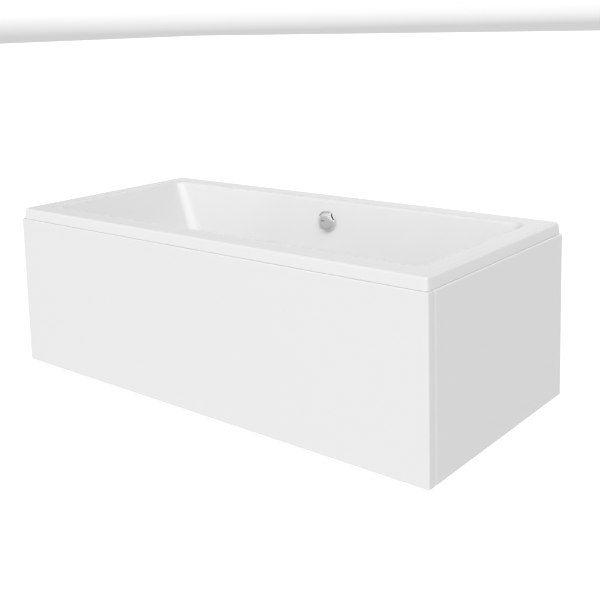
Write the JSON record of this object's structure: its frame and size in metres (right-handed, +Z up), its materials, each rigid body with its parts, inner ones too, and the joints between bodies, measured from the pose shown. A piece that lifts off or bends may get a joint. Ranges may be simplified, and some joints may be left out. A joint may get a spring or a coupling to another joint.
{
  "type": "freestanding bathtub",
  "caption": "Rectangular double-ended white bathtub with flat side panels, a sloped basin, a round overflow knob that works a pop-up plug, and levelling feet.",
  "frame": {"origin": "on the floor under the middle of the tub: the bottom centre of the bounding box", "axes": "+X along the tub towards its right end, +Y from the front panel to the wall with the overflow knob, +Z up"},
  "size_m": [1.7, 0.8, 0.566],
  "materials": {
    "white_acrylic": "glossy white sanitary acrylic",
    "panel_acrylic": "glossy white acrylic, a little softer than the basin",
    "chrome": "polished chrome",
    "zinc_steel": "bright zinc plate",
    "brass": "plain machined brass",
    "timber": "planed softwood",
    "board": "raw particle board",
    "white_plastic": "moulded plumbing plastic",
    "grey_plastic": "ribbed plastic nut",
    "black_plastic": "moulded plastic",
    "rubber": "black sealing rubber"
  },
  "bodies": {
    "root": {"tub_shell": "white_acrylic", "front_panel": "panel_acrylic", "back_panel": "panel_acrylic", "left_panel": "panel_acrylic", "right_panel": "panel_acrylic", "front_batten": "timber", "back_batten": "timber", "left_batten": "timber", "right_batten": "timber", "base_board_left": "board", "base_board_right": "board", "leg_rail_left": "zinc_steel", "leg_rail_right": "zinc_steel", "waste_top_seal": "rubber", "waste_flange": "chrome", "waste_washer": "rubber", "waste_body": "white_plastic", "lever_pin": "brass", "trap_inlet_nut": "grey_plastic", "trap_bend": "white_plastic", "trap_outlet_nut": "grey_plastic", "overflow_seal": "rubber", "overflow_elbow": "white_plastic", "overflow_flange": "chrome", "overflow_hose": "white_plastic", "hose_nut_top": "grey_plastic", "hose_nut_bottom": "grey_plastic", "bowden_cable": "rubber", "corner_post_front_left": "timber", "panel_bracket_front_left": "zinc_steel", "foot_nut_front_left": "zinc_steel", "rail_screw_front_left": "zinc_steel", "corner_post_front_right": "timber", "panel_bracket_front_right": "zinc_steel", "foot_nut_front_right": "zinc_steel", "rail_screw_front_right": "zinc_steel", "corner_post_back_left": "timber", "panel_bracket_back_left": "zinc_steel", "foot_nut_back_left": "zinc_steel", "rail_screw_back_left": "zinc_steel", "corner_post_back_right": "timber", "panel_bracket_back_right": "zinc_steel", "foot_nut_back_right": "zinc_steel", "rail_screw_back_right": "zinc_steel"},
    "knob": {"control_knob": "chrome", "knob_spindle": "brass", "cable_drum": "white_plastic"},
    "plug": {"plug_cap": "chrome", "plug_seal": "rubber", "plug_stem": "brass"},
    "lever": {"plug_lever": "brass"},
    "foot_front_left": {"foot_stud_front_left": "zinc_steel", "foot_pad_front_left": "black_plastic"},
    "foot_front_right": {"foot_stud_front_right": "zinc_steel", "foot_pad_front_right": "black_plastic"},
    "foot_back_left": {"foot_stud_back_left": "zinc_steel", "foot_pad_back_left": "black_plastic"},
    "foot_back_right": {"foot_stud_back_right": "zinc_steel", "foot_pad_back_right": "black_plastic"}
  },
  "joints": [
    {"name": "knob_turn", "type": "hinge", "parent": "root", "child": "knob", "pos_m": [0, 0.30093, 0.489], "axis": [0, -0.9925, 0.1219], "range_deg": [0, 90]},
    {"name": "plug_lift", "type": "slide", "parent": "root", "child": "plug", "axis": [0, 0, 1], "range_m": [0, 0.0101]},
    {"name": "lever_tilt", "type": "hinge", "parent": "root", "child": "lever", "pos_m": [0, 0.017, 0.0885], "axis": [-1, 0, 0], "range_deg": [0, 26.2]},
    {"name": "level_front_left", "type": "slide", "parent": "root", "child": "foot_front_left", "axis": [0, 0, -1], "range_m": [-0.003, 0.02]},
    {"name": "level_front_right", "type": "slide", "parent": "root", "child": "foot_front_right", "axis": [0, 0, -1], "range_m": [-0.003, 0.02]},
    {"name": "level_back_left", "type": "slide", "parent": "root", "child": "foot_back_left", "axis": [0, 0, -1], "range_m": [-0.003, 0.02]},
    {"name": "level_back_right", "type": "slide", "parent": "root", "child": "foot_back_right", "axis": [0, 0, -1], "range_m": [-0.003, 0.02]}
  ],
  "couplings": [
    {"joint": "plug_lift", "follows": "knob_turn", "m_per_rad": 0.0063662},
    {"joint": "lever_tilt", "follows": "knob_turn", "ratio": 0.28889}
  ]
}
